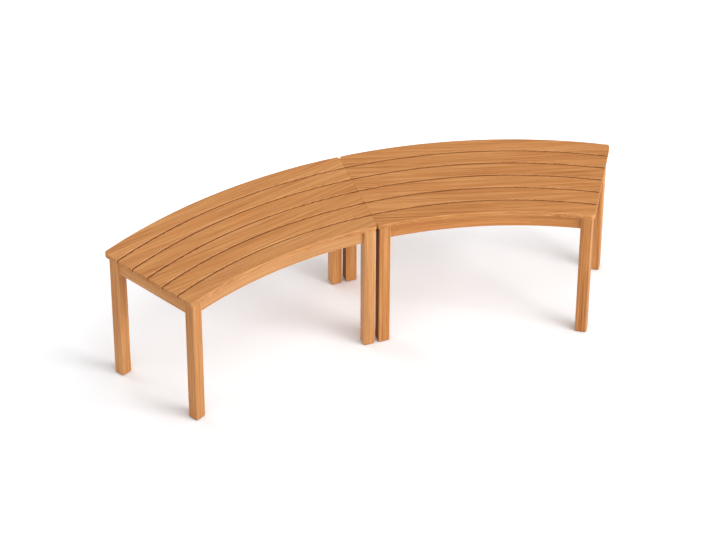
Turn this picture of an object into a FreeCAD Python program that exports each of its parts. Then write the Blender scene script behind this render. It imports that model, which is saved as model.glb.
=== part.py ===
import FreeCAD, Part
import math
import os

# Curved tree bench in teak-like hardwood, made of two equal sections that stand side by side.
# Sizes are in millimetres and angles in degrees.
# X runs across the bench, +Y points away from the tree and +Z up.
# The origin lies on the ground under the middle of the bench's outer box.

# Ring that both sections follow
outer_radius = 1600.0
section_angle = 29.6
junction_gap = 0.2

# Seat slats, counted from the tree outwards
seat_height = 450.0
slat_count = 6
slat_width = 55.5
slat_gap = 4.0
slat_thickness = 15.0
slat_top_round = 3.0
slat_bottom_round = 1.5
slat_end_break = 0.5
slat_corner_round = 2.0
free_corner_round = 14.0

# Legs, square in section
leg_side = 36.0
leg_edge_round = 5.0
foot_edge_round = 4.0
inner_leg_setback = 1.0
outer_leg_setback = 15.5
end_leg_setback = 5.5

# Aprons, end rails and the bearer under the middle of each section
rail_height = 47.0
rail_thickness = 18.0
apron_setback = 10.0
end_rail_setback = 5.0
rail_low_round = 3.0
rail_top_round = 1.0
bearer_height = 40.0
bearer_tenon_length = 9.0
bearer_tenon_root = 1.0

# Mortise and tenon joints
tenon_thickness = 8.0
tenon_top_shoulder = 8.0
tenon_low_shoulder = 6.0
mitre_clearance = 0.5
mortise_end_clearance = 0.5

# Pan head screws, driven up into the slats from below
screw_length = 35.0
screw_grip_in_slat = 10.0
screw_head_radius = 4.25
screw_head_height = 3.0
screw_head_round = 1.4
screw_shank_radius = 2.0
screw_thread_radius = 1.75
screw_point_length = 4.0
screw_tip_radius = 0.3
recess_width = 1.1
recess_length = 4.8
recess_depth = 1.8
counterbore_radius = 4.75
clearance_hole_radius = 2.25
pilot_hole_radius = 1.8
pilot_hole_spare_depth = 1.0
apron_screw_angles = (-11.0, -4.0, 4.0, 11.0)

# Sizes that follow from the ones above
slat_pitch = slat_width + slat_gap
inner_radius = outer_radius - slat_count * slat_pitch + slat_gap
leg_height = seat_height - slat_thickness
rail_low = leg_height - rail_height
half_angle = section_angle / 2
inner_leg_face = inner_radius + inner_leg_setback
outer_leg_face = outer_radius - outer_leg_setback
inner_apron_near = inner_leg_face + apron_setback
outer_apron_far = outer_leg_face - apron_setback

# The rounded front corners of the free ends come nearest to the tree, the junction reaches furthest back
front_corner_radius = inner_radius + free_corner_round
front_corner_angle = math.radians(section_angle) - math.asin(free_corner_round / front_corner_radius)
front_reach = front_corner_radius * math.cos(front_corner_angle) - free_corner_round
back_corner_radius = outer_radius - free_corner_round
back_reach = math.sqrt(back_corner_radius ** 2 - free_corner_round ** 2) + free_corner_round
ring_centre_y = -(back_reach + front_reach) / 2

origin = FreeCAD.Vector(0, 0, 0)
x_axis = FreeCAD.Vector(1, 0, 0)
z_axis = FreeCAD.Vector(0, 0, 1)
hair = 0.01
same_angle = 1e-6


# Places in a section: its own frame has the ring's centre at the origin and its middle along +Y.
# The end frame has its end line along +Y, and +X points out of the section.
def at_end(shape, side):
    """Take a shape from the end frame to the section's right (side 1) or left (side -1) end."""
    placed = shape.copy() if side > 0 else shape.mirror(origin, x_axis)
    placed.rotate(origin, z_axis, -side * half_angle)
    return placed


def box(x0, x1, y0, y1, z0, z1):
    return Part.makeBox(x1 - x0, y1 - y0, z1 - z0, FreeCAD.Vector(x0, y0, z0))


def prism(points, z0, z1):
    """Upright prism over a closed outline of (x, y) points."""
    corners = [FreeCAD.Vector(x, y, z0) for x, y in points]
    face = Part.Face(Part.makePolygon(corners + corners[:1]))
    return face.extrude(FreeCAD.Vector(0, 0, z1 - z0))


def rounded_profile(y0, y1, z0, z1, low_round, top_round):
    """Face in the YZ plane: a rectangle with one radius at the bottom and one at the top."""
    diagonal = 1 - math.sqrt(0.5)
    corners = (
        (y1, z0, -1, 1, low_round),
        (y1, z1, -1, -1, top_round),
        (y0, z1, 1, -1, top_round),
        (y0, z0, 1, 1, low_round),
    )
    arcs = []
    for index, (y, z, inward_y, inward_z, radius) in enumerate(corners):
        along_y = FreeCAD.Vector(0, y + inward_y * radius, z)
        along_z = FreeCAD.Vector(0, y, z + inward_z * radius)
        middle = FreeCAD.Vector(0, y + inward_y * radius * diagonal, z + inward_z * radius * diagonal)
        start, end = (along_y, along_z) if index % 2 == 0 else (along_z, along_y)
        arcs.append(Part.Arc(start, middle, end).toShape())
    edges = []
    for index, arc in enumerate(arcs):
        following = arcs[(index + 1) % len(arcs)]
        edges.append(arc)
        edges.append(Part.makeLine(arc.lastVertex().Point, following.firstVertex().Point))
    return Part.Face(Part.Wire(edges))


def curved_bar(r0, r1, z0, z1, low_round, top_round):
    """Bar of the section's full angle that follows the ring."""
    profile = rounded_profile(r0, r1, z0, z1, low_round, top_round)
    profile.rotate(origin, z_axis, -half_angle)
    return profile.revolve(origin, z_axis, section_angle)


def on_ring(radius, angle):
    """Point at a radius and at an angle counted clockwise from the section's middle."""
    turn = math.radians(angle)
    return FreeCAD.Vector(radius * math.sin(turn), radius * math.cos(turn), 0)


# Screws and their holes
def screw_spots():
    """Where the screws stand, as (place, underside of the wood that the head bears in)."""
    end_rail_x = -(end_leg_setback + end_rail_setback + rail_thickness / 2)
    spots = []
    for number in range(2, slat_count):
        radius = slat_centre(number)
        spots.append((FreeCAD.Vector(0, radius, 0), leg_height - bearer_height))
        for side in (-1, 1):
            turn = FreeCAD.Rotation(z_axis, -side * half_angle)
            spots.append((turn.multVec(FreeCAD.Vector(side * end_rail_x, radius, 0)), rail_low))
    for radius in (inner_apron_near + rail_thickness / 2, outer_apron_far - rail_thickness / 2):
        for angle in apron_screw_angles:
            spots.append((on_ring(radius, angle), rail_low))
    return spots


def screw():
    """One screw standing point up, with the underside of its head at z = 0."""
    head = Part.makeCylinder(screw_head_radius, screw_head_height, FreeCAD.Vector(0, 0, -screw_head_height))
    rim = [edge for edge in head.Edges if edge.BoundBox.ZMax < -screw_head_height / 2]
    head = head.makeFillet(screw_head_round, rim)
    recess_top = recess_depth - screw_head_height
    for across_x, across_y in ((recess_length, recess_width), (recess_width, recess_length)):
        half_x, half_y = across_x / 2, across_y / 2
        head = head.cut(box(-half_x, half_x, -half_y, half_y, -screw_head_height, recess_top))
    shank_length = screw_length - screw_grip_in_slat
    thread_length = screw_grip_in_slat - screw_point_length
    shank = Part.makeCylinder(screw_shank_radius, shank_length)
    thread = Part.makeCylinder(screw_thread_radius, thread_length, FreeCAD.Vector(0, 0, shank_length))
    point_low = FreeCAD.Vector(0, 0, shank_length + thread_length)
    point = Part.makeCone(screw_thread_radius, screw_tip_radius, screw_point_length, point_low)
    return head.fuse([shank, thread, point]).removeSplitter()


def screw_seat():
    """Height of the underside of every screw's head."""
    return leg_height + screw_grip_in_slat - screw_length


def drilled(shape, underside):
    """A rail, bearer or apron with its counterbored screw holes."""
    holes = []
    for place, low in screw_spots():
        if low != underside or not shape.isInside(place + FreeCAD.Vector(0, 0, low + hair), hair, True):
            continue
        depth = screw_seat() - low
        bottom = place + FreeCAD.Vector(0, 0, low - hair)
        holes.append(Part.makeCylinder(counterbore_radius, depth + hair, bottom))
        seat = place + FreeCAD.Vector(0, 0, screw_seat())
        holes.append(Part.makeCylinder(clearance_hole_radius, leg_height - screw_seat() + hair, seat))
    return shape.cut(holes)


def screws():
    seat = FreeCAD.Vector(0, 0, screw_seat())
    pieces = []
    for place, _ in screw_spots():
        piece = screw()
        piece.translate(place + seat)
        pieces.append(piece)
    return Part.makeCompound(pieces)


# Seat slats
def slat_inner(number):
    return inner_radius + (number - 1) * slat_pitch


def slat_centre(number):
    return slat_inner(number) + slat_width / 2


def corner_rounds(number):
    """Plan radius of a slat's corners on the side of the tree and on the outer side."""
    near = free_corner_round if number == 1 else slat_corner_round
    far = free_corner_round if number == slat_count else slat_corner_round
    return near, far


def slat_outline(number):
    """Plan shape of a slat with rounded corners, a hair wider and higher than the slat itself."""
    near, far = slat_inner(number) - hair, slat_inner(number) + slat_width + hair
    near_left, near_middle, near_right = [on_ring(near, angle) for angle in (-half_angle, 0, half_angle)]
    far_left, far_middle, far_right = [on_ring(far, angle) for angle in (-half_angle, 0, half_angle)]
    edges = [
        Part.Arc(near_left, near_middle, near_right).toShape(),
        Part.makeLine(near_right, far_right),
        Part.Arc(far_right, far_middle, far_left).toShape(),
        Part.makeLine(far_left, near_left),
    ]
    block = Part.Face(Part.Wire(edges)).extrude(FreeCAD.Vector(0, 0, slat_thickness + 2 * hair))
    block.translate(FreeCAD.Vector(0, 0, leg_height - hair))
    near_round, far_round = corner_rounds(number)
    middle = slat_centre(number)
    for radius, wanted_near in ((near_round, True), (far_round, False)):
        upright = []
        for edge in block.Edges:
            extent = edge.BoundBox
            stands = extent.ZLength > slat_thickness and extent.DiagonalLength < extent.ZLength + hair
            foot = edge.Vertexes[0].Point
            on_near_side = math.hypot(foot.x, foot.y) < middle
            sharp = abs(abs(math.degrees(math.atan2(foot.x, foot.y))) - half_angle) < same_angle
            if stands and sharp and on_near_side == wanted_near:
                upright.append(edge)
        block = block.makeFillet(radius, upright)
    rim = [edge for edge in block.Edges if edge.BoundBox.ZMin > seat_height - hair]
    return block.makeFillet(slat_end_break, rim)


def slat(number):
    near = slat_inner(number)
    bar = curved_bar(near, near + slat_width, leg_height, seat_height, slat_bottom_round, slat_top_round)
    board = bar.common(slat_outline(number))
    pilots = []
    depth = screw_grip_in_slat + pilot_hole_spare_depth
    for place, _ in screw_spots():
        if near < place.Length < near + slat_width:
            mouth = place + FreeCAD.Vector(0, 0, leg_height - hair)
            pilots.append(Part.makeCylinder(pilot_hole_radius, depth + hair, mouth))
    return board.cut(pilots)


# Mortise and tenon joints at a leg, in the end frame
def tenon_plan(kind, face_y, inward, end_clearance):
    """Outline of a tenon that ends in a mitre inside the leg.

    u counts from the leg's visible face into the leg along the ring's radius,
    and v from the leg's end face into the section.
    """
    shoulder = (rail_thickness - tenon_thickness) / 2
    u0 = apron_setback + shoulder
    v0 = end_rail_setback + shoulder
    u1, v1 = u0 + tenon_thickness, v0 + tenon_thickness
    mitre = mitre_clearance - end_clearance
    if kind == "apron":
        outline = ((u0, leg_side), (u1, leg_side), (u1, v1 + mitre), (u0, v0 + mitre))
    else:
        outline = ((leg_side, v0), (leg_side, v1), (u1 + mitre, v1), (u0 + mitre, v0))
    return [(-end_leg_setback - v, face_y + inward * u) for u, v in outline]


def tenon(kind, leg_row, end_clearance=0.0):
    """Tenon of an apron or an end rail at the inner or the outer leg."""
    face_y, inward = (inner_leg_face, 1) if leg_row == "inner" else (outer_leg_face, -1)
    outline = tenon_plan(kind, face_y, inward, end_clearance)
    return prism(outline, rail_low + tenon_low_shoulder, leg_height - tenon_top_shoulder)


# Legs
def leg(leg_row):
    """One leg in the end frame, mortised for its apron and its end rail."""
    near = inner_leg_face if leg_row == "inner" else outer_leg_face - leg_side
    x_far = -end_leg_setback - leg_side
    post = box(x_far, -end_leg_setback, near, near + leg_side, 0, leg_height)
    upright = [edge for edge in post.Edges if edge.BoundBox.ZLength > leg_side]
    post = post.makeFillet(leg_edge_round, upright)
    foot = [edge for edge in post.Edges if edge.BoundBox.ZMax < hair]
    post = post.makeFillet(foot_edge_round, foot)
    return post.cut([tenon(kind, leg_row, mortise_end_clearance / 2) for kind in ("apron", "rail")])


# Aprons, end rails and the bearer
def between_leg_rows(shape):
    """Cut a curved bar off square at the legs on both ends."""
    shoulder_x = -end_leg_setback - leg_side
    beyond = box(shoulder_x, leg_side, 0, 2 * outer_radius, 0, seat_height)
    for side in (-1, 1):
        shape = shape.cut(at_end(beyond, side))
    return shape


def bearer_tenons(clearance=0.0):
    """Both stub tenons of the bearer, or the mortises for them with a clearance at their ends."""
    half = tenon_thickness / 2
    low = leg_height - bearer_height + tenon_low_shoulder
    high = leg_height - tenon_top_shoulder
    inner_root = inner_apron_near + rail_thickness
    outer_root = outer_apron_far - rail_thickness
    reach = bearer_tenon_length + clearance
    near = box(-half, half, inner_root - reach, inner_root + bearer_tenon_root, low, high)
    far = box(-half, half, outer_root - bearer_tenon_root, outer_root + reach, low, high)
    return [near, far]


def apron(leg_row):
    near = inner_apron_near if leg_row == "inner" else outer_apron_far - rail_thickness
    bar = curved_bar(near, near + rail_thickness, rail_low, leg_height, rail_low_round, rail_top_round)
    board = between_leg_rows(bar)
    tenons = [at_end(tenon("apron", leg_row), side) for side in (-1, 1)]
    board = board.fuse(tenons).removeSplitter().cut(bearer_tenons(mortise_end_clearance))
    return drilled(board, rail_low)


def end_rail():
    """Straight rail between the inner and the outer leg, in the end frame."""
    far_x = -(end_leg_setback + end_rail_setback)
    near_y, far_y = inner_leg_face + leg_side, outer_leg_face - leg_side
    board = box(far_x - rail_thickness, far_x, near_y, far_y, rail_low, leg_height)
    for radius, height in ((rail_low_round, rail_low), (rail_top_round, leg_height)):
        long_edges = []
        for edge in board.Edges:
            lies = abs(edge.BoundBox.ZMin - height) < hair and abs(edge.BoundBox.ZMax - height) < hair
            if lies and edge.BoundBox.YLength > rail_thickness:
                long_edges.append(edge)
        board = board.makeFillet(radius, long_edges)
    return board.fuse([tenon("rail", "inner"), tenon("rail", "outer")]).removeSplitter()


def bearer():
    """Straight rail between the aprons in the middle of the section."""
    half = rail_thickness / 2
    near_y = inner_apron_near + rail_thickness
    far_y = math.sqrt((outer_apron_far - rail_thickness) ** 2 - half ** 2)
    board = box(-half, half, near_y, far_y, leg_height - bearer_height, leg_height)
    board = board.fuse(bearer_tenons()).removeSplitter()
    return drilled(board, leg_height - bearer_height)


# One section in its own frame, by the names of its pieces
def section_pieces():
    """The right-hand section: its left end is the bench's middle, its right end is free."""
    pieces = {}
    for number in range(1, slat_count + 1):
        pieces[f"seat_slat_{number}"] = slat(number)
    for leg_row in ("inner", "outer"):
        pieces[f"{leg_row}_apron"] = apron(leg_row)
        for end_name, side in (("end", 1), ("middle", -1)):
            pieces[f"{leg_row}_{end_name}_leg"] = at_end(leg(leg_row), side)
    for end_name, side in (("end", 1), ("middle", -1)):
        pieces[f"{end_name}_rail"] = drilled(at_end(end_rail(), side), rail_low)
    pieces["seat_bearer"] = bearer()
    pieces["seat_screws"] = screws()
    return pieces


# The bench: the right section stands beside the plane x = 0, the left one is its mirror image
def main():
    os.makedirs("parts", exist_ok=True)
    volume = 0.0
    for name, piece in section_pieces().items():
        piece.rotate(origin, z_axis, -half_angle)
        piece.translate(FreeCAD.Vector(junction_gap / 2, ring_centre_y, 0))
        mirrored = piece.mirror(origin, x_axis)
        for side_name, shape in (("right", piece), ("left", mirrored)):
            shape.exportStep(f"parts/{side_name}_{name}.step")
            volume += shape.Volume
        print(name, "valid" if piece.isValid() else "NOT VALID", len(piece.Solids), round(piece.Volume))
    print("wood and screws together", round(volume / 1e6, 2), "litres")


main()
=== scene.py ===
import math

import bpy
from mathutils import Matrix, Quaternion, Vector


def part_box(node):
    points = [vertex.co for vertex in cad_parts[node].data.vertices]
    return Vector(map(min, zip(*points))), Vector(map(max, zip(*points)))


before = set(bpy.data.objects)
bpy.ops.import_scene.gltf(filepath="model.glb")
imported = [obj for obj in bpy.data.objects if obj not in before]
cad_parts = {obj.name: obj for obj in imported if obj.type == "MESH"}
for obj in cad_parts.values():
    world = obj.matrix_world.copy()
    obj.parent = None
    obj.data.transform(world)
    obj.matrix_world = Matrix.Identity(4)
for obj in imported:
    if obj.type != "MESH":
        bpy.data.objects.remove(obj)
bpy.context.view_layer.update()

# Lengths are in metres.
ACROSS_BENCH = Vector((1.0, 0.0, 0.0))
AWAY_FROM_TREE = Vector((0.0, 1.0, 0.0))
UP = Vector((0.0, 0.0, 1.0))
LEVEL = (1.0, 1.0, 0.0)

# Ring that the seat follows: the same sizes as the solids
RING_CENTRE = (0.0, -1.344609, 0.0)
SECTION_ANGLE = math.radians(29.6)
INNER_APRON_RADIUS = 1.258
OUTER_APRON_RADIUS = 1.5745
SLAT_COUNT = 6

# Wood's colours, as screen values of 0 to 255. The ramp goes from its darkest to its palest lines.
WOOD_RAMP = (
    (0.05, (147, 84, 37)),
    (0.35, (185, 120, 63)),
    (0.60, (204, 140, 81)),
    (0.95, (226, 168, 109)),
)
WARM_WOOD = (206, 132, 71)
PORE_BROWN = (122, 68, 26)
PALE_WOOD = (243, 220, 175)
END_GRAIN = (150, 90, 40)
# painted highlight on the rounded edges
PAINTED_EDGE_HIGHLIGHT = (229, 172, 116)
# painted shade on the sides that face a gap: between slats, in the slit between the middle legs and
# on the feet's rims
PAINTED_GAP_SHADE = (100, 36, 0)

# Largest shares of those colours
WARM_SHARE = 0.4
PORE_SHARE = 0.42
END_SHARE = 0.1

# Wood's patterns: marks per metre along and across the grain, detail and roughness of the noise
GRAIN = {
    "wave": (1.3, 6.0, 2.0, 0.5),
    "bow": (0.6, 2.5, 1.0, 0.5),
    "band": (0.9, 15.0, 2.0, 0.5),
    "streak": (1.9, 80.0, 3.0, 0.6),
    "line": (4.5, 290.0, 2.0, 0.6),
    "fibre": (24.0, 1100.0, 2.0, 0.65),
    "pore": (120.0, 1900.0, 1.0, 0.5),
    "warmth": (1.1, 12.0, 2.0, 0.5),
    # patches of the painted edge highlight
    "highlight_patch": (9.0, 60.0, 2.0, 0.5),
}
WARM_PATCHES = (0.52, 0.74)
# patches of the painted edge highlight: noise from and to, and the share at each
HIGHLIGHT_PATCHES = (0.3, 0.7, 0.2, 0.5)
WAVE_DEPTH = 0.022
BOW_DEPTH = 0.034

# Growth rings: their noise by the distance from the pith, and the phase at which each one ends
RINGS_PER_METRE = 190.0
RING_UNEVENNESS = 3.4
RING_NOISE_PLACE = 3.1
RING_NOISE = {"stretch": (1.0, 55.0, 1.0), "detail": 3.0, "roughness": 0.6}
RING_END = (1.0, 0.9)
LATEWOOD_POWER = 2.2
PORE_THRESHOLD = (0.6, 0.72)
PORES_BY_PHASE = (0.0, 0.6, 1.0, 0.3)

# Middle of the ramp's value, and how far each pattern moves it
WOOD_MIDDLE = 0.55
BAND_SWAY = 0.32
STREAK_SWAY = 0.7
LINE_SWAY = 1.1
FIBRE_SWAY = 0.5
LATEWOOD_SHIFT = -0.2

# Roughness and relief, and what changes them
WOOD_ROUGHNESS = 0.5
FIBRE_ROUGHNESS = 0.22
LATEWOOD_ROUGHNESS = -0.05
END_ROUGHNESS = 0.15
EDGE_ROUGHNESS = -0.07
RECESS_ROUGHNESS = 0.6
LATEWOOD_RISE = 0.25
FIBRE_RISE = 0.35
PORE_RISE = -0.9
WOOD_SPECULAR = 0.2
WOOD_BUMP_STRENGTH = 0.45
WOOD_BUMP_DISTANCE = 0.0002

# Masks by how squarely a face is turned, as a cosine: from and to, and the share at the end
END_TURN = (0.75, 0.97)
EDGE_TURN = (0.99, 0.86)
# the last three masks place the painted shade: between slats, in the slit between the middle legs
# and on the feet's downward rims
SLAT_GAP_MASK = (0.75, 0.98, 0.0, 0.42)
LEG_SLIT_MASK = (0.8, 0.98, 0.0, 0.45)
FOOT_RIM_MASK = (0.05, 0.5, 0.0, 0.65)

# Distances from the middle plane over which the painted highlight on the slats' edges fades in
JUNCTION_FADE = (0.002, 0.005)

# Boards that are lighter or darker than the others, and boards that are paler and yellower
TONES = {
    "left_seat_slat_1": -0.05,
    "left_seat_slat_4": -0.03,
    "left_seat_slat_5": 0.1,
    "left_seat_slat_6": 0.06,
    "left_end_rail": 0.03,
    "left_inner_end_leg": -0.04,
    "left_outer_end_leg": 0.05,
    "left_inner_middle_leg": -0.01,
    "left_outer_middle_leg": 0.12,
    "right_seat_slat_1": -0.08,
    "right_seat_slat_4": -0.04,
    "right_inner_apron": -0.06,
    "right_inner_end_leg": -0.12,
    "right_inner_middle_leg": -0.03,
    "right_outer_middle_leg": 0.15,
}
PALER = {
    "left_seat_slat_1": 0.03,
    "left_inner_apron": 0.1,
    "left_inner_end_leg": 0.02,
    "left_inner_middle_leg": 0.07,
}
TONE_SPREAD = 0.06

# Where in a tree the boards are cut: steps from board to board, and the pith's slope and distance
CUT_STEPS = (3.7, 1.9, 2.3)
PITH_SLOPE, PITH_SLOPE_SPREAD = 25, 40
PITH_REACH, PITH_REACH_SPREAD = 0.09, 0.12
SLOPE_DRAW, REACH_DRAW, TONE_DRAW = 40.0, 80.0, 120.0

# Steel of the screws
STEEL_DARK, STEEL_LIGHT = (150, 148, 144), (196, 194, 190)
STEEL_GRAINS, STEEL_BLOTCHES = 2600.0, 260.0
STEEL_ROUGHNESS = (0.3, 0.7, 0.28, 0.46)
STEEL_BUMP_STRENGTH = 0.3
STEEL_BUMP_DISTANCE = 0.00005

# Floor and surroundings, whose colours are shares of light
FLOOR_HALF = 30.0
FLOOR_OPEN = (0.93, 0.95, 0.97, 1.0)
# floor's colour under the painted shadow beside a foot, and how far the occlusion reaches
FLOOR_PAINTED_SHADOW = (0.6, 0.61, 0.62, 1.0)
PAINTED_SHADOW_REACH = 0.14
TOWARDS_KEY_LAMP = (0.62, -0.62, 0.47)
WORLD_WHITE = (1.0, 1.0, 1.0, 1.0)
WORLD_LIGHT, WORLD_SEEN = 0.46, 1.0

# Floor's glow: near and far distance, and the glow at each
GLOW_BESIDE_RING = (0.22, 0.8, 0.13, 0.5)
GLOW_BESIDE_MIDDLE = (0.85, 2.2, 0.13, 0.55)

# Lamps: heading from the bench's front to its right and height, both in degrees, then distance,
# width, depth and power in watts
LAMPS = {
    "key": (45, 34, 6.0, 2.3, 1.4, 140.0),
    "wide_key": (42, 18, 6.0, 5.0, 2.0, 112.0),
    "back": (-150, 30, 6.0, 5.0, 2.0, 100.0),
    "overhead": (10, 70, 6.0, 2.0, 2.0, 52.0),
    "side": (-60, 20, 6.0, 5.0, 2.0, 38.0),
}
LAMPS_AIM = Vector((0.0, 0.0, 0.2))

# Camera
PICTURE_WIDTH = 716
FOCAL_PIXELS = 3360.19
SENSOR_WIDTH = 36.0
CAMERA_PLACE = (-2.58579, -7.29079, 6.57069)
CAMERA_HEADING = math.radians(19.3392)
CAMERA_PITCH = math.radians(39.4366)
CAMERA_ROLL = math.radians(0.2381)
CAMERA_CLIP_END = 200.0

# Sockets of the colour mix node, where both kinds of value share their names
MIX_FIRST, MIX_SECOND, MIX_RESULT = 6, 7, 2


# Node helpers
class Tree:
    """An empty node tree with short calls for the nodes that are used here."""

    def __init__(self, tree):
        self.tree = tree
        tree.nodes.clear()

    def node(self, kind, **settings):
        made = self.tree.nodes.new(kind)
        for name, value in settings.items():
            setattr(made, name, value)
        return made

    def put(self, socket, value):
        """Link a socket or set its value."""
        if isinstance(value, bpy.types.NodeSocket):
            self.tree.links.new(value, socket)
        elif value is not None:
            socket.default_value = value

    def math(self, operation, first, second=None, third=None, clamp=False):
        made = self.node("ShaderNodeMath", operation=operation, use_clamp=clamp)
        for socket, value in zip(made.inputs, (first, second, third)):
            self.put(socket, value)
        return made.outputs[0]

    def vector(self, operation, first, second=None):
        made = self.node("ShaderNodeVectorMath", operation=operation)
        self.put(made.inputs[0], first)
        self.put(made.inputs[1], second)
        return made.outputs["Value" if operation in ("DOT_PRODUCT", "LENGTH") else "Vector"]

    def split(self, vector):
        made = self.node("ShaderNodeSeparateXYZ")
        self.put(made.inputs[0], vector)
        return made.outputs[0], made.outputs[1], made.outputs[2]

    def join(self, x, y, z):
        made = self.node("ShaderNodeCombineXYZ")
        for socket, value in zip(made.inputs, (x, y, z)):
            self.put(socket, value)
        return made.outputs[0]

    def noise(self, place, stretch, detail=2.0, roughness=0.5):
        """Noise from 0 to 1, with a middle of 0.5, whose grains are stretched per axis."""
        made = self.node("ShaderNodeTexNoise", noise_dimensions="3D")
        self.put(made.inputs["Vector"], self.vector("MULTIPLY", place, stretch))
        made.inputs["Scale"].default_value = 1.0
        made.inputs["Detail"].default_value = detail
        made.inputs["Roughness"].default_value = roughness
        return made.outputs["Fac"]

    def span(self, value, low, high, new_low=0.0, new_high=1.0, smooth=False):
        """Map low..high onto new_low..new_high, clamped."""
        made = self.node("ShaderNodeMapRange")
        made.interpolation_type = "SMOOTHSTEP" if smooth else "LINEAR"
        names = ("Value", "From Min", "From Max", "To Min", "To Max")
        for name, put in zip(names, (value, low, high, new_low, new_high)):
            self.put(made.inputs[name], put)
        return made.outputs["Result"]

    def sway(self, value, noise, strength):
        """Add a noise about its middle."""
        centred = self.math("SUBTRACT", noise, 0.5)
        return self.math("MULTIPLY_ADD", centred, strength, value)

    def mix(self, share, first, second):
        made = self.node("ShaderNodeMix", data_type="RGBA")
        self.put(made.inputs["Factor"], share)
        self.put(made.inputs[MIX_FIRST], first)
        self.put(made.inputs[MIX_SECOND], second)
        return made.outputs[MIX_RESULT]

    def tint(self, colour, screen_colour, mask, largest=None):
        """Mix a screen colour into a colour by a mask, which may be scaled to a largest share."""
        share = mask if largest is None else self.math("MULTIPLY", mask, largest)
        return self.mix(share, colour, linear(screen_colour))

    def ramp(self, value, stops):
        made = self.node("ShaderNodeValToRGB")
        ramp = made.color_ramp
        while len(ramp.elements) < len(stops):
            ramp.elements.new(0.5)
        for element, (place, screen_colour) in zip(ramp.elements, stops):
            element.position = place
            element.color = linear(screen_colour)
        self.put(made.inputs[0], value)
        return made.outputs[0]

    def bump(self, shader, height, strength, distance):
        """Give a shader its fine relief."""
        made = self.node("ShaderNodeBump")
        made.inputs["Strength"].default_value = strength
        made.inputs["Distance"].default_value = distance
        self.put(made.inputs["Height"], height)
        self.put(shader.inputs["Normal"], made.outputs["Normal"])

    def surface(self, shader, output="ShaderNodeOutputMaterial"):
        """Make a shader what the tree puts out."""
        self.put(self.node(output).inputs["Surface"], shader.outputs[0])


def linear(screen_colour):
    """Colour from screen values of 0 to 255."""
    def one(value):
        value /= 255
        return value / 12.92 if value <= 0.04045 else ((value + 0.055) / 1.055) ** 2.4
    red, green, blue = screen_colour
    return one(red), one(green), one(blue), 1.0


def new_material(name):
    material = bpy.data.materials.new(name)
    material.use_nodes = True
    return material, Tree(material.node_tree)


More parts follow.
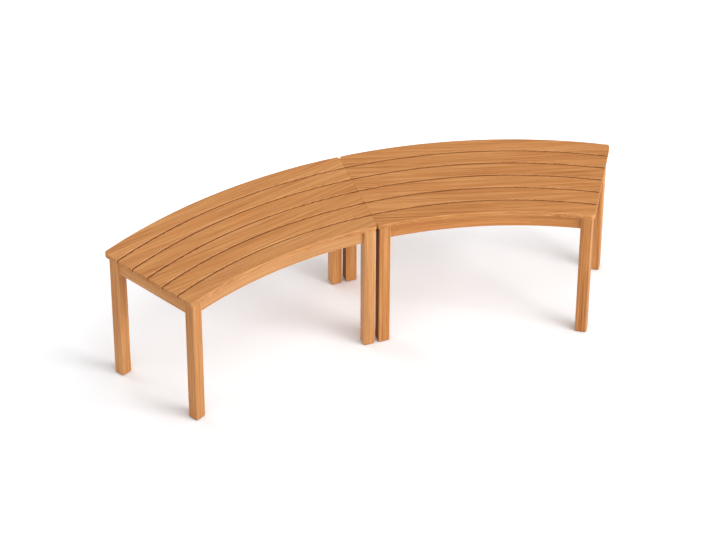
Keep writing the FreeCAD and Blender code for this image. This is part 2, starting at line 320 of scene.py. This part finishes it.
# Hardwood
def hardwood_group():
    """Wood as a solid pattern: x runs along the grain, y across the board and z through it.

    End is 1 where the grain is cut across, and Edge is 1 on the rounded edges, which get a painted
    highlight in patches. A further share paints shade on the sides that face a gap and on the
    feet's rims. Tone makes a board lighter or darker, and Pale makes it paler.
    """
    group = bpy.data.node_groups.new("hardwood", "ShaderNodeTree")
    inputs = [("Place", "Vector"), ("Pith", "Vector")]
    inputs += [(name, "Float") for name in ("End", "Edge", "Painted Shade", "Tone", "Pale")]
    outputs = [("Color", "Color"), ("Roughness", "Float"), ("Height", "Float")]
    for sockets, in_out in ((inputs, "INPUT"), (outputs, "OUTPUT")):
        for name, kind in sockets:
            socket_type = "NodeSocket" + kind
            group.interface.new_socket(name=name, in_out=in_out, socket_type=socket_type)
    t = Tree(group)
    source = t.node("NodeGroupInput")
    place, pith, end, edge, painted_shade, tone, pale = (source.outputs[name] for name, _ in inputs)

    def grain(name):
        along, across, detail, roughness = GRAIN[name]
        return t.noise(place, (along, across, across), detail, roughness)

    # growth rings round a pith line beside the board, bent by slow waves along the grain
    _, y, z = t.split(t.vector("SUBTRACT", place, pith))
    y = t.sway(y, grain("wave"), WAVE_DEPTH)
    z = t.sway(z, grain("bow"), BOW_DEPTH)
    distance = t.vector("LENGTH", t.join(0.0, y, z))
    uneven = t.noise(t.join(0.0, distance, RING_NOISE_PLACE), **RING_NOISE)
    uneven = t.math("MULTIPLY", uneven, RING_UNEVENNESS)
    phase = t.math("FRACT", t.math("MULTIPLY_ADD", distance, RINGS_PER_METRE, uneven))
    ring_end = t.span(phase, *RING_END, smooth=True)
    latewood = t.math("MULTIPLY", t.math("POWER", phase, LATEWOOD_POWER), ring_end)

    fibre = grain("fibre")
    pore = t.span(grain("pore"), *PORE_THRESHOLD, smooth=True)
    pore = t.math("MULTIPLY", pore, t.span(phase, *PORES_BY_PHASE))

    value = t.math("ADD", tone, WOOD_MIDDLE)
    value = t.sway(value, grain("band"), BAND_SWAY)
    value = t.sway(value, grain("streak"), STREAK_SWAY)
    value = t.sway(value, grain("line"), LINE_SWAY)
    value = t.sway(value, fibre, FIBRE_SWAY)
    value = t.math("MULTIPLY_ADD", latewood, LATEWOOD_SHIFT, value)
    # painted highlight on the rounded edges, in patches
    edge_highlight = t.math("MULTIPLY", edge, t.span(grain("highlight_patch"), *HIGHLIGHT_PATCHES))
    colour = t.ramp(value, WOOD_RAMP)
    colour = t.tint(colour, WARM_WOOD, t.span(grain("warmth"), *WARM_PATCHES), WARM_SHARE)
    colour = t.tint(colour, PORE_BROWN, pore, PORE_SHARE)
    colour = t.tint(colour, PALE_WOOD, pale)
    colour = t.tint(colour, END_GRAIN, end, END_SHARE)
    colour = t.tint(colour, PAINTED_EDGE_HIGHLIGHT, edge_highlight)
    # painted shade on the sides that face a gap and on the feet's rims
    colour = t.tint(colour, PAINTED_GAP_SHADE, painted_shade)

    rough = t.sway(WOOD_ROUGHNESS, fibre, FIBRE_ROUGHNESS)
    rough = t.math("MULTIPLY_ADD", latewood, LATEWOOD_ROUGHNESS, rough)
    rough = t.math("MULTIPLY_ADD", end, END_ROUGHNESS, rough)
    rough = t.math("MULTIPLY_ADD", edge, EDGE_ROUGHNESS, rough)
    rough = t.math("MULTIPLY_ADD", painted_shade, RECESS_ROUGHNESS, rough)
    height = t.math("MULTIPLY", latewood, LATEWOOD_RISE)
    height = t.math("MULTIPLY_ADD", fibre, FIBRE_RISE, height)
    height = t.math("MULTIPLY_ADD", pore, PORE_RISE, height)
    target = t.node("NodeGroupOutput")
    for (name, _), made in zip(outputs, (colour, rough, height)):
        t.put(target.inputs[name], made)
    return group


HARDWOOD = hardwood_group()


def pseudo(seed):
    """Repeatable number from 0 to 1."""
    value = math.sin(seed * 12.9898 + 4.1414) * 43758.5453
    return value - math.floor(value)


class Board:
    """A board and the place in a tree that it is cut from.

    along and across are the directions of its grain and its width. arc_radius is the radius of the
    arc that its grain follows, or None where the grain is straight.
    """

    def __init__(self, node, sign, along, across, arc_radius, seed):
        self.node = node
        self.sign = sign
        self.along, self.across, self.arc_radius = along, across, arc_radius
        self.is_slat = "seat_slat" in node
        low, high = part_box(node)
        centre = (low + high) / 2
        if arc_radius is None:
            own = Vector([centre.dot(axis) for axis in self.axes()])
        else:
            own = Vector((0.0, centre.z, arc_radius))
        along_step, across_step, through_step = (step * seed for step in CUT_STEPS)
        self.shift = Vector((along_step + pseudo(seed), across_step, through_step)) - own
        slope = math.radians(PITH_SLOPE + PITH_SLOPE_SPREAD * pseudo(seed + SLOPE_DRAW))
        reach = PITH_REACH + PITH_REACH_SPREAD * pseudo(seed + REACH_DRAW)
        to_pith = Vector((0.0, reach * math.sin(slope), -reach * math.cos(slope)))
        self.pith = self.shift + own + to_pith
        self.tone = TONES.get(node, 0.0) + TONE_SPREAD * (pseudo(seed + TONE_DRAW) - 0.5)
        self.pale = PALER.get(node, 0.0)

    def axes(self):
        """Directions of the board's length, width and thickness."""
        return self.along, self.across, self.along.cross(self.across)


def ring_frame(t, here):
    """Level offset from the ring's centre, and the directions along the ring, up and out."""
    flat = t.vector("MULTIPLY", t.vector("SUBTRACT", here, RING_CENTRE), LEVEL)
    out = t.vector("NORMALIZE", flat)
    return flat, (t.vector("CROSS_PRODUCT", out, tuple(UP)), tuple(UP), out)


def arc_place(t, here, flat, board):
    """Place in a board whose grain follows the ring: along the arc, up, and out from the centre."""
    angle = t.math(
        "ARCTAN2",
        t.vector("DOT_PRODUCT", flat, tuple(board.along)),
        t.vector("DOT_PRODUCT", flat, tuple(board.across)),
    )
    rise = t.vector("DOT_PRODUCT", here, tuple(UP))
    return t.join(t.math("MULTIPLY", angle, board.arc_radius), rise, t.vector("LENGTH", flat))


def painted_shade_mask(t, board, facing, outward):
    """Share of painted shade on the sides that face a gap: between slats, in the slit and on the
    feet's rims.
    """
    if board.is_slat:
        turned = t.vector("DOT_PRODUCT", facing, outward)
        if board.node.endswith("_1"):
            turned = t.math("MAXIMUM", turned, 0.0)
        elif board.node.endswith(f"_{SLAT_COUNT}"):
            turned = t.math("MAXIMUM", t.math("MULTIPLY", turned, -1.0), 0.0)
        return t.span(t.math("ABSOLUTE", turned), *SLAT_GAP_MASK, smooth=True)
    if not board.node.endswith("leg"):
        return 0.0
    down = t.vector("DOT_PRODUCT", facing, tuple(-UP))
    foot = t.span(down, *FOOT_RIM_MASK, smooth=True)
    if "middle" not in board.node:
        return foot
    inward = t.vector("DOT_PRODUCT", facing, (-board.sign, 0.0, 0.0))
    return t.math("MAXIMUM", foot, t.span(inward, *LEG_SLIT_MASK, smooth=True))


def hardwood(board):
    """Material of one board."""
    material, t = new_material(f"wood_{board.node}")
    coordinates = t.node("ShaderNodeTexCoord")
    here, facing = coordinates.outputs["Object"], coordinates.outputs["Normal"]

    # the grain and the sides of an apron follow the ring, and of a slat only the sides
    if board.arc_radius is None:
        axes = [tuple(axis) for axis in board.axes()]
        place = t.join(*(t.vector("DOT_PRODUCT", here, axis) for axis in axes))
    else:
        flat, axes = ring_frame(t, here)
        place = arc_place(t, here, flat, board)
    sides = ring_frame(t, here)[1] if board.is_slat else axes

    end = t.math("ABSOLUTE", t.vector("DOT_PRODUCT", facing, axes[0]))
    squareness = 0.0
    for side in sides:
        turned = t.math("ABSOLUTE", t.vector("DOT_PRODUCT", facing, side))
        squareness = t.math("MAXIMUM", turned, squareness)
    edge = t.span(squareness, *EDGE_TURN, smooth=True)
    if board.is_slat:
        # the painted edge highlight is left off the slats' ends that meet at the middle
        from_middle = t.math("ABSOLUTE", t.split(here)[0])
        edge = t.math("MULTIPLY", edge, t.span(from_middle, *JUNCTION_FADE))

    wood = t.node("ShaderNodeGroup", node_tree=HARDWOOD)
    inputs = {
        "Place": t.vector("ADD", place, board.shift),
        "Pith": board.pith,
        "End": t.span(end, *END_TURN, smooth=True),
        "Edge": edge,
        "Painted Shade": painted_shade_mask(t, board, facing, sides[2]),
        "Tone": board.tone,
        "Pale": board.pale,
    }
    for socket, value in inputs.items():
        t.put(wood.inputs[socket], value)
    shader = t.node("ShaderNodeBsdfPrincipled")
    shader.inputs["Specular IOR Level"].default_value = WOOD_SPECULAR
    t.put(shader.inputs["Base Color"], wood.outputs["Color"])
    t.put(shader.inputs["Roughness"], wood.outputs["Roughness"])
    t.bump(shader, wood.outputs["Height"], WOOD_BUMP_STRENGTH, WOOD_BUMP_DISTANCE)
    t.surface(shader)
    return material


def screw_steel():
    material, t = new_material("screw_steel")
    here = t.node("ShaderNodeTexCoord").outputs["Object"]
    fine = t.noise(here, (STEEL_GRAINS,) * 3, detail=3.0)
    blotch = t.noise(here, (STEEL_BLOTCHES,) * 3)
    shader = t.node("ShaderNodeBsdfPrincipled")
    shader.inputs["Metallic"].default_value = 1.0
    t.put(shader.inputs["Base Color"], t.mix(blotch, linear(STEEL_DARK), linear(STEEL_LIGHT)))
    t.put(shader.inputs["Roughness"], t.span(fine, *STEEL_ROUGHNESS))
    t.bump(shader, fine, STEEL_BUMP_STRENGTH, STEEL_BUMP_DISTANCE)
    t.surface(shader)
    return material


def dress(node, material):
    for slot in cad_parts[node].material_slots:
        slot.material = material


def ring_directions(angle):
    """Directions along the ring and out from its centre, at an angle from the middle plane."""
    along = Vector((math.cos(angle), -math.sin(angle), 0.0))
    return along, Vector((math.sin(angle), math.cos(angle), 0.0))


def section_boards(sign):
    """Grain's direction, width's direction and arc radius of each board of one section."""
    chord, outward = ring_directions(sign * SECTION_ANGLE / 2)
    beside_free_end, along_free_end = ring_directions(sign * SECTION_ANGLE)
    boards = {f"seat_slat_{number}": (chord, outward, None) for number in range(1, SLAT_COUNT + 1)}
    boards["inner_apron"] = (chord, outward, INNER_APRON_RADIUS)
    boards["outer_apron"] = (chord, outward, OUTER_APRON_RADIUS)
    boards["seat_bearer"] = (outward, UP, None)
    boards["end_rail"] = (along_free_end, UP, None)
    boards["middle_rail"] = (AWAY_FROM_TREE, UP, None)
    for row in ("inner", "outer"):
        boards[f"{row}_end_leg"] = (UP, beside_free_end, None)
        boards[f"{row}_middle_leg"] = (UP, ACROSS_BENCH, None)
    return boards


STEEL = screw_steel()
seed = 0
for section, sign in (("left", -1.0), ("right", 1.0)):
    for piece, (along, across, arc_radius) in section_boards(sign).items():
        seed += 1
        board = Board(f"{section}_{piece}", sign, along, across, arc_radius, seed)
        dress(board.node, hardwood(board))
    dress(f"{section}_seat_screws", STEEL)


# Floor, light and camera
def add_object(name, data):
    made = bpy.data.objects.new(name, data)
    bpy.context.scene.collection.objects.link(made)
    return made


def seen_directly(t):
    """1 for the rays that show a surface to the camera, straight or through gloss and glass."""
    path = t.node("ShaderNodeLightPath")
    seen = t.math("ADD", path.outputs["Is Camera Ray"], path.outputs["Is Glossy Ray"])
    return t.math("ADD", seen, path.outputs["Is Transmission Ray"], clamp=True)


def floor_white():
    material, t = new_material("floor_white")
    here = t.node("ShaderNodeTexCoord").outputs["Object"]

    # the floor turns plain white a little way from the bench, in front, behind and beside it
    radius = t.vector("LENGTH", t.vector("SUBTRACT", here, RING_CENTRE))
    seat_radius = (INNER_APRON_RADIUS + OUTER_APRON_RADIUS) / 2
    beside_ring = t.math("ABSOLUTE", t.math("SUBTRACT", radius, seat_radius))
    strength = t.math(
        "MAXIMUM",
        t.span(beside_ring, *GLOW_BESIDE_RING, smooth=True),
        t.span(t.vector("LENGTH", here), *GLOW_BESIDE_MIDDLE, smooth=True),
    )

    # painted shadow: beside a foot, on the side away from the key lamp, an occlusion node darkens
    # the floor's colour and its glow
    shadow_occlusion = t.node("ShaderNodeAmbientOcclusion", samples=8)
    shadow_occlusion.inputs["Distance"].default_value = PAINTED_SHADOW_REACH
    t.put(shadow_occlusion.inputs["Normal"], t.join(*TOWARDS_KEY_LAMP))
    openness = shadow_occlusion.outputs["AO"]
    strength = t.math("MULTIPLY", strength, openness)

    diffuse = t.node("ShaderNodeBsdfDiffuse")
    t.put(diffuse.inputs["Color"], t.mix(openness, FLOOR_PAINTED_SHADOW, FLOOR_OPEN))
    glow = t.node("ShaderNodeEmission")
    t.put(glow.inputs["Strength"], t.math("MULTIPLY", seen_directly(t), strength))
    both = t.node("ShaderNodeAddShader")
    t.put(both.inputs[0], diffuse.outputs[0])
    t.put(both.inputs[1], glow.outputs[0])
    t.surface(both)
    return material


def plain_floor():
    half = FLOOR_HALF
    corners = [(-half, -half, 0), (half, -half, 0), (half, half, 0), (-half, half, 0)]
    mesh = bpy.data.meshes.new("floor")
    mesh.from_pydata(corners, [], [(0, 1, 2, 3)])
    mesh.materials.append(floor_white())
    floor = add_object("floor", mesh)


def pale_world():
    world = bpy.data.worlds.new("studio")
    bpy.context.scene.world = world
    world.use_nodes = True
    t = Tree(world.node_tree)
    background = t.node("ShaderNodeBackground")
    background.inputs["Color"].default_value = WORLD_WHITE
    strength = t.span(seen_directly(t), 0.0, 1.0, WORLD_LIGHT, WORLD_SEEN)
    t.put(background.inputs["Strength"], strength)
    t.surface(background, "ShaderNodeOutputWorld")


def softbox(name, heading, height, distance, width, depth, power):
    """Soft lamp aimed at the bench."""
    light = bpy.data.lights.new(name, "AREA")
    light.shape = "RECTANGLE"
    light.size, light.size_y = width, depth
    light.energy = power
    lamp = add_object(name, light)
    turn, rise = math.radians(heading), math.radians(height)
    reach = distance * math.cos(rise)
    away = Vector((reach * math.sin(turn), -reach * math.cos(turn), distance * math.sin(rise)))
    lamp.location = LAMPS_AIM + away
    lamp.rotation_euler = (LAMPS_AIM - lamp.location).to_track_quat("-Z", "Y").to_euler()


def photo_camera():
    lens = bpy.data.cameras.new("camera")
    lens.sensor_fit = "HORIZONTAL"
    lens.sensor_width = SENSOR_WIDTH
    lens.lens = FOCAL_PIXELS * SENSOR_WIDTH / PICTURE_WIDTH
    lens.clip_end = CAMERA_CLIP_END
    camera = add_object("camera", lens)
    heading = Quaternion(UP, -CAMERA_HEADING)
    pitch = Quaternion(ACROSS_BENCH, math.pi / 2 - CAMERA_PITCH)
    camera.rotation_mode = "QUATERNION"
    camera.rotation_quaternion = heading @ pitch @ Quaternion(UP, CAMERA_ROLL)
    camera.location = CAMERA_PLACE
    bpy.context.scene.camera = camera


plain_floor()
pale_world()
for name, settings in LAMPS.items():
    softbox(name, *settings)
photo_camera()
bpy.context.scene.view_settings.view_transform = "Standard"
